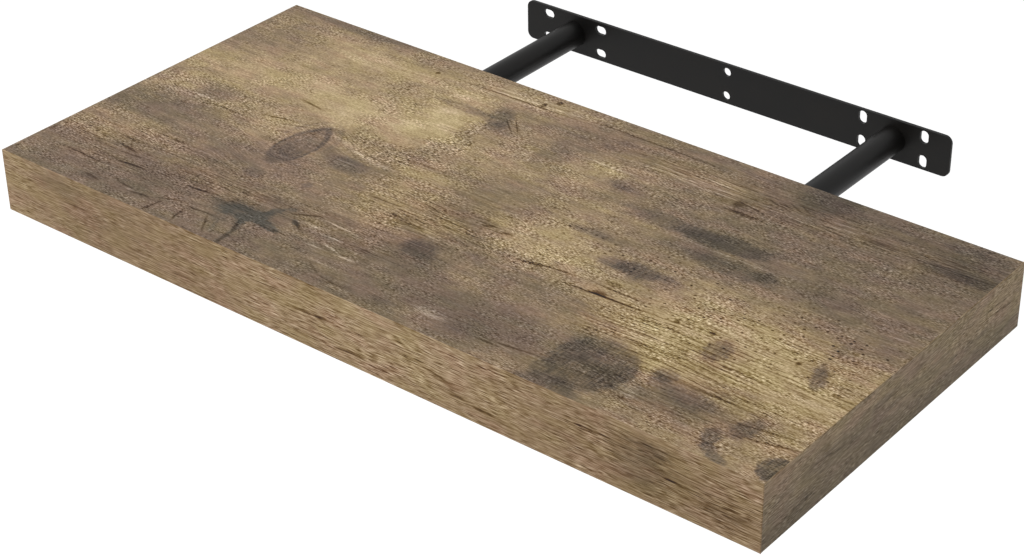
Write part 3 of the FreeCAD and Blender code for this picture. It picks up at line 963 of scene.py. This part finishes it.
TOP_DASHES = marks(
    (172, 60, 17, 17, -180), (166, 86, 18, 10, -160), (118, 84, 28, 13, -150), (95, 98, 28, 8, -100),
    (92, 42, 46, 26, -90), (25, 66, 40, 34, -60), (384, 228, 18, 9, -80), (435, 199, 24, 8, -60),
    (254, 108, 13, 22, -90), (140, 86, 9, 6, 120), (65, 200, 75, 32, 50), (400, 50, 95, 16, 80),
    (390, 27, 110, 12, -70), (40, 120, 50, 14, 100), (140, 55, 16, 22, 100), (190, 82, 9, 30, 200),
    (170, 108, 26, 9, 120), (300, 148, 40, 18, 80), (450, 168, 56, 24, -40),
)

TOP_TAR = marks(
    (155, 203.5, 15, 5.6, 85, -3, 0.4), (137, 203.5, 9, 3.4, 35, 0, 0.7), (149, 199, 8, 3.2, 50),
    (164, 199, 6, 4.4, 55), (143, 208.5, 6, 3.2, 45), (158, 209, 5, 4.6, 60),
    (174, 206, 10, 3.0, 85, 6, 0.3), (161, 214, 2.4, 7, 60, -14), (163.5, 228, 2.2, 8, 50, -5),
    (167, 193, 2.8, 6, 75, 20, 0.4), (172, 186, 4, 1.8, 60, -30), (184, 195, 5, 1.6, 70, 30, 0.4),
    (147, 213, 5, 5, 40, -10, 0.6), (151, 222, 1.1, 6, 40, -25), (367, 190, 5, 5, 25, 0, 0.7),
    (366, 77, 12, 4, 25, 0, 0.7), (348, 126, 9, 4, 20, 0, 0.7), edge=0.5
)

TOP_BRUISES = marks(
    (127, 131, 14, 22, 22), (115, 156, 48, 18, 22), (70, 206, 90, 32, 16), (225, 178, 24, 14, 22),
    (250, 26, 22, 22, 18), (317, 206, 36, 24, 18), (433, 203, 30, 12, 10), (468, 214, 14, 16, 8),
    (425, 160, 10, 14, 6), (352, 125, 20, 9, 8), (384, 28, 110, 26, 6), (162, 132, 14, 8, 12),
    (384, 208, 26, 26, -10), (196, 42, 14, 20, 8), (295, 60, 12, 8, 8), (170, 62, 18, 18, -20),
    (481, 32, 34, 8, -10), (256, 114, 16, 20, -16), (440, 168, 50, 24, -10), (486, 178, 18, 26, 5),
    (480, 110, 24, 40, 6), (372, 76, 30, 8, -10),
)

TOP_KNOTS = (
    Knot(126.5, 131, 11.5, 24.5, 0.16, turn=1),
)

UNDERSIDE_ZONES = marks(
    (120, 70, 90, 40, 8), (330, 160, 110, 45, 9), (420, 60, 70, 30, 5), (60, 190, 70, 30, -6),
    (250, 110, 60, 40, -5), (450, 210, 60, 25, -6),
)

UNDERSIDE_SMUDGES = marks(
    (90, 150, 30, 14, 16, 6, 0.5), (300, 60, 46, 9, 14, -3, 0.7), (410, 120, 12, 18, 14),
    (210, 205, 24, 10, 12), (470, 175, 10, 9, 14),
)

UNDERSIDE_CRACKS = marks(
    (150, 96, 16, 0.8, 14, -4), (360, 188, 20, 0.8, 14, 3), (240, 40, 12, 0.7, 12, 5),
    (60, 60, 14, 0.7, 12, -6),
)

FRONT_ZONES = marks(
    (10, 20, 30, 22, 2), (75, 20, 50, 30, -3), (270, 16, 80, 24, 6.6), (350, 12, 20, 10, 2),
    (415, 16, 22, 7, 3), (430, 24, 50, 16, -2.5), (480, 6, 30, 8, 2),
)

FRONT_SMUDGES = marks(
    (42, 6, 18, 6, 7, 0, 0.7), (434, 20, 15, 13, 8, 20), (437, 12, 6, 6, 3), (442, 7, 10, 4, 9),
    (480, 25, 12, 3, 5), (90, 8, 20, 6, 3, 0, 0.7),
)

FRONT_LINES = marks(
    (250, 19, 270, 24, 80, 0, 0.3), (470, 12, 60, 10, 80), (480, 28, 40, 8, 50),
)

FRONT_CRACKS = marks(
    (230, 17.2, 14, 0.9, 12, -2), (293, 17, 7, 0.7, 9, 4), (310, 19.5, 7, 0.8, 10, 9),
    (320, 22.5, 7, 0.9, 7, 6), (325, 27, 6, 0.8, 9, 5), (342, 29, 8, 0.8, 10, 2), (255, 30, 8, 0.8, 12, -4),
    (262, 16.5, 7, 0.6, 8, -2), (480, 24.5, 14, 0.9, 6), (488, 31, 12, 0.8, 6), (425, 28, 10, 0.7, 5),
    (405, 12, 10, 0.7, 8), (60, 16, 12, 0.6, 7), (452, 20, 9, 0.7, 8, 6), (138, 30, 7, 0.8, 6),
    (205, 12, 8, 0.5, 6), (275, 32, 10, 0.5, 8),
)

FRONT_DASHES = marks(
    (320, 22, 130, 18, 60), (450, 22, 60, 18, 40),
)

# The first row is painted shade, darker towards the bottom of the end bands, and the second is painted light
# along their top; the other rows are the print's own tone.
END_ZONES_AND_SHADE = marks(
    (117, 40, 260, 13, -8.5), (117, 0, 260, 8, 2), (210, 2, 60, 8, 2), (165, 22, 60, 18, -2),
    (155, 17, 20, 6, -3), (183, 15, 14, 4, -3), (15, 8, 34, 16, 4.5), (60, 20, 46, 22, 0.5), edge=0.9
)

END_CRACKS = marks(
    (182, 15, 12, 0.6, 5, -8), (20, 17, 15, 0.6, 7, -6), (28, 12, 12, 0.5, 5, -3), (210, 29, 14, 0.7, 5, 3),
    (130, 12, 14, 0.5, 4, -2),
)


@dataclass
class Board:
    """The hollow-core board: printed foils and bands, skins, frame, rod blocks and honeycomb."""

    fibre_board: FibreBoard = FibreBoard()
    chip_board: ChipBoard = ChipBoard()
    paper: KraftPaper = KraftPaper()

    def __post_init__(self) -> None:
        """Reads the board's planes off the frame, in millimetres."""
        lowest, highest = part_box("front_edge_band")
        self.left_mm = lowest.x * MM_PER_METRE
        self.top_mm = highest.z * MM_PER_METRE
        self.back_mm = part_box("top_foil")[1].y * MM_PER_METRE

    def face_print(self) -> WoodPrint:
        """The print on the top."""
        return WoodPrint(
            "top_print", Lay.FACE, (self.left_mm, self.back_mm), 0.502, 4.0, FACE_STOPS,
            zones=TOP_ZONES, smudges=TOP_SMUDGES, spots=TOP_SPOTS, lines=TOP_LINES, cracks=TOP_CRACKS,
            lights=TOP_LIGHTS, pores=TOP_PORES, dashes=TOP_DASHES, tar=TOP_TAR,
            bruises=TOP_BRUISES, knots=TOP_KNOTS)

    def underside_print(self) -> WoodPrint:
        """The print on the underside."""
        return WoodPrint(
            "underside_print", Lay.FACE, (self.left_mm, self.back_mm), 0.475, 41.0, FACE_STOPS,
            zones=UNDERSIDE_ZONES, smudges=UNDERSIDE_SMUDGES, cracks=UNDERSIDE_CRACKS, lines=TOP_LINES[:3])

    def front_print(self) -> WoodPrint:
        """The lighter print on the front band."""
        return WoodPrint(
            "front_print", Lay.FRONT, (self.left_mm, self.top_mm), 0.482, 12.0, FRONT_STOPS,
            zones=FRONT_ZONES, smudges=FRONT_SMUDGES, lines=FRONT_LINES, cracks=FRONT_CRACKS,
            dashes=FRONT_DASHES, cloud_depth=0.05, mottle_depth=0.02, fibre_depth=0.17,
            fibre_size=(13.0, 0.5), grit_depth=0.56, grit_size=(6.5, 0.42), line_depth=0.08,
            line_gap=0.6, line_pitch=1.5, dash_depth=0.06, sway=2.0)

    def end_print(self) -> WoodPrint:
        """The quiet grey-brown print on the end bands, with painted shade darker towards their bottom and
        painted light along their top.
        """
        return WoodPrint(
            "end_print", Lay.END, (self.back_mm, self.top_mm), 0.474, 27.0, END_STOPS,
            zones=END_ZONES_AND_SHADE, cracks=END_CRACKS, cloud_depth=0.02, mottle_depth=0.02, fibre_depth=0.28,
            fibre_size=(12.0, 0.7), grit_depth=0.62, grit_size=(3.4, 0.5), line_depth=0.05, line_pitch=2.0,
            dash_depth=0.03, sway=3.0)

    def build(self) -> None:
        """Dresses every node of the board."""
        dress(self.face_print().material(), "face_decor", "top_foil")
        dress(self.underside_print().material(), "face_decor", "bottom_foil")
        dress(self.front_print().material(), "front_decor", "front_edge_band")
        dress(self.end_print().material(), "end_decor", "left_edge_band", "right_edge_band")
        dress(self.fibre_board.material(), "mdf", "top_panel", "bottom_panel")
        dress(self.chip_board.material(), "chipboard", "front_rail", "back_rail", "left_end_rail",
              "right_end_rail", "left_rod_block", "right_rod_block")
        dress(self.paper.material(), "honeycomb_paper",
              "honeycomb_left", "honeycomb_centre", "honeycomb_right")


@dataclass
class Studio:
    """A white room with soft light, a pale floor and the camera."""

    lens_mm: float = 82.006
    sensor_mm: float = 36.0
    camera_place: Triple = (0.6808, -1.0376, 0.6271)
    camera_turn: Triple = (58.37, 0.699, 38.832)
    floor_drop: float = 0.62
    floor_reach: float = 6.0
    floor_shade: Colour = tint(228, 228, 228)
    floor_roughness: float = 0.9
    floor_glow: float = 0.45
    room_light: float = 0.62
    key_size: float = 1.6
    key_power: float = 33.0
    key_place: Triple = (-0.8, -1.85, 1.45)
    key_aim: Triple = (0.0, -0.2, 0.0)

    def build(self) -> None:
        """Makes the room, the lamps, the floor and the camera."""
        self.light_room()
        self.lay_floor()
        self.hang_key()
        self.place_camera()

    def seen_directly(self, wiring: Wiring) -> Signal:
        """Tells rays that look at the room from rays that carry its light.

        Args:
            wiring: The nodes to add to.

        Returns:
            1 for camera, glossy and transmission rays, and 0 for the others.
        """
        path = wiring.node("ShaderNodeLightPath", {}, {}).outputs
        camera, glossy, through = (
            Signal(wiring, path[name]) for name in ("Is Camera Ray", "Is Glossy Ray", "Is Transmission Ray"))
        return camera.at_least(glossy).at_least(through)

    def light_room(self) -> None:
        """Lights the object evenly from all round and shows white behind it."""
        world = bpy.data.worlds.new("white_room")
        bpy.context.scene.world = world
        wiring = Wiring(world)
        light, white = (
            wiring.signal("ShaderNodeBackground", {}, {"Color": WHITE, "Strength": strength})
            for strength in (self.room_light, 1.0))
        values = {"Fac": self.seen_directly(wiring), "Shader": light, "Shader_001": white}
        mixed = wiring.signal("ShaderNodeMixShader", {}, values)
        wiring.node("ShaderNodeOutputWorld", {}, {"Surface": mixed})

    def lay_floor(self) -> None:
        """Lays a pale floor well below the shelf, which hangs on its wall."""
        reach, low = self.floor_reach, -self.floor_drop
        mesh = bpy.data.meshes.new("floor")
        corners = [(-reach, -reach, low), (reach, -reach, low), (reach, reach, low), (-reach, reach, low)]
        mesh.from_pydata(corners, [], [(0, 1, 2, 3)])
        floor = bpy.data.objects.new("floor", mesh)
        bpy.context.scene.collection.objects.link(floor)
        paint = bpy.data.materials.new("pale_floor")
        wiring = Wiring(paint)
        plain = {"Base Color": self.floor_shade, "Roughness": self.floor_roughness, "Specular IOR Level": 0.0}
        glow = {"Emission Color": WHITE, "Emission Strength": self.floor_glow}
        matt = wiring.signal("ShaderNodeBsdfPrincipled", {}, plain)
        lit = wiring.signal("ShaderNodeBsdfPrincipled", {}, {**plain, **glow})
        values = {"Fac": self.seen_directly(wiring), "Shader": matt, "Shader_001": lit}
        mixed = wiring.signal("ShaderNodeMixShader", {}, values)
        wiring.node("ShaderNodeOutputMaterial", {}, {"Surface": mixed})
        mesh.materials.append(paint)

    def hang_key(self) -> None:
        """Hangs one wide soft lamp above, on the left in front."""
        lamp = bpy.data.lights.new("key", "AREA")
        lamp.shape = "SQUARE"
        lamp.size = self.key_size
        lamp.energy = self.key_power
        holder = bpy.data.objects.new("key", lamp)
        holder.location = self.key_place
        aim = Vector(self.key_aim) - Vector(self.key_place)
        holder.rotation_euler = aim.to_track_quat("-Z", "Y").to_euler()
        bpy.context.scene.collection.objects.link(holder)

    def place_camera(self) -> None:
        """Places the camera at the photograph's angle."""
        camera = bpy.data.cameras.new("camera")
        camera.lens = self.lens_mm
        camera.sensor_width = self.sensor_mm
        camera.sensor_fit = "HORIZONTAL"
        holder = bpy.data.objects.new("camera", camera)
        holder.location = self.camera_place
        holder.rotation_euler = Euler([math.radians(angle) for angle in self.camera_turn], "XYZ")
        bpy.context.scene.collection.objects.link(holder)
        bpy.context.scene.camera = holder


def corners(box: tuple[Vector, Vector]) -> list[list[float]]:
    """Writes a box's two corners as plain lists."""
    return [list(corner) for corner in box]


def main() -> None:
    """Builds the studio, the bracket and the board."""
    logging.basicConfig(level=logging.INFO, format="%(name)s: %(message)s")
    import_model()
    bpy.context.scene.view_settings.view_transform = "Standard"
    for part in (Studio(), Bracket(), Board()):
        part.build()
        LOG.info("built the %s", type(part).__name__.lower())


if __name__ == "__main__":
    main()
